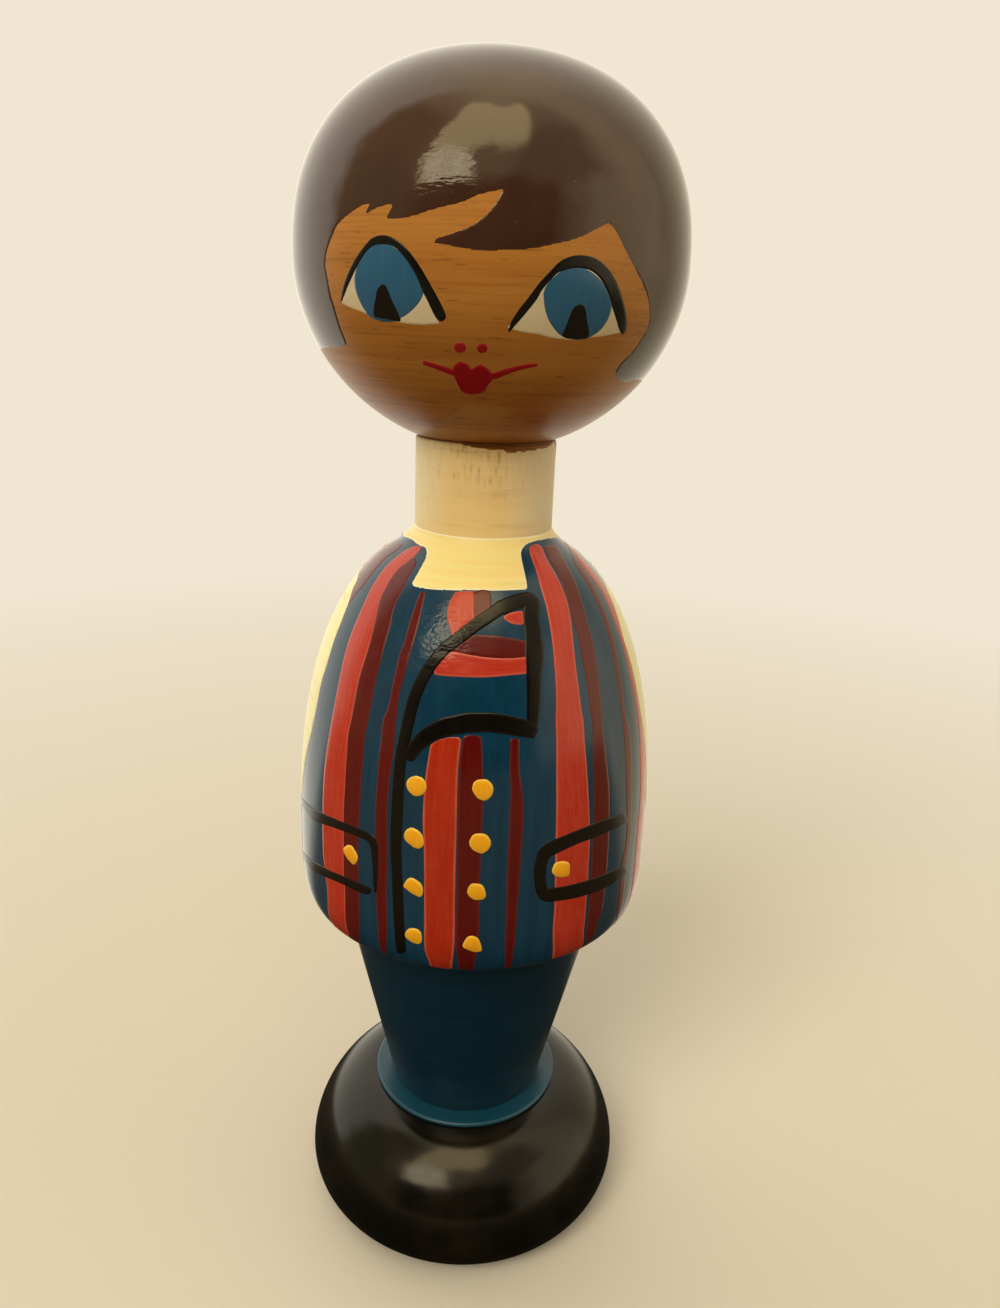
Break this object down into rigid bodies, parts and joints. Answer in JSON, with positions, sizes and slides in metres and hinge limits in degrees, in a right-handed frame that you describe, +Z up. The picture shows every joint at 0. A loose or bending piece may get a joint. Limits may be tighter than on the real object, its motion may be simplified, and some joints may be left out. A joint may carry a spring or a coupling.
{
  "type": "peg doll",
  "caption": "Turned wooden peg doll with a ball head that turns on a dowel, a barrel-shaped torso, tapered legs and a round base.",
  "frame": {"origin": "centre of the flat underside of the base, on the turning axis", "axes": "+Z up along the turning axis, the doll's front and face towards -Y, the doll's left hand towards +X"},
  "size_m": [0.0675, 0.0674, 0.2203],
  "materials": {
    "base_paint": "black paint on wood, glossy varnish",
    "trouser_paint": "dark blue paint on wood, satin",
    "jacket_paint": "blue paint on wood, glossy varnish",
    "cream_paint": "thin cream paint on wood, matte",
    "varnished_wood": "amber varnish on turned wood, glossy",
    "bare_wood": "bare sanded wood",
    "hair_paint": "dark brown paint, glossy varnish",
    "black_paint": "black brushed paint, glossy varnish",
    "eye_white_paint": "off-white brushed paint, glossy varnish",
    "eye_blue_paint": "blue brushed paint, glossy varnish",
    "red_paint": "red brushed paint, glossy varnish",
    "coral_paint": "coral brushed paint, glossy varnish",
    "maroon_paint": "maroon brushed paint, glossy varnish",
    "yellow_paint": "thick yellow paint, glossy varnish"
  },
  "bodies": {
    "figure": {"base": "base_paint", "foot_dowel": "bare_wood", "legs": "trouser_paint", "waist_dowel": "bare_wood", "torso": "jacket_paint", "neck_dowel": "bare_wood", "neck": "cream_paint"},
    "turning_head": {"head": "varnished_wood"}
  },
  "joints": [
    {"name": "head_turn", "type": "hinge", "parent": "figure", "child": "turning_head", "pos_m": [0, 0, 0.161], "axis": [0, 0, 1], "continuous": true}
  ]
}
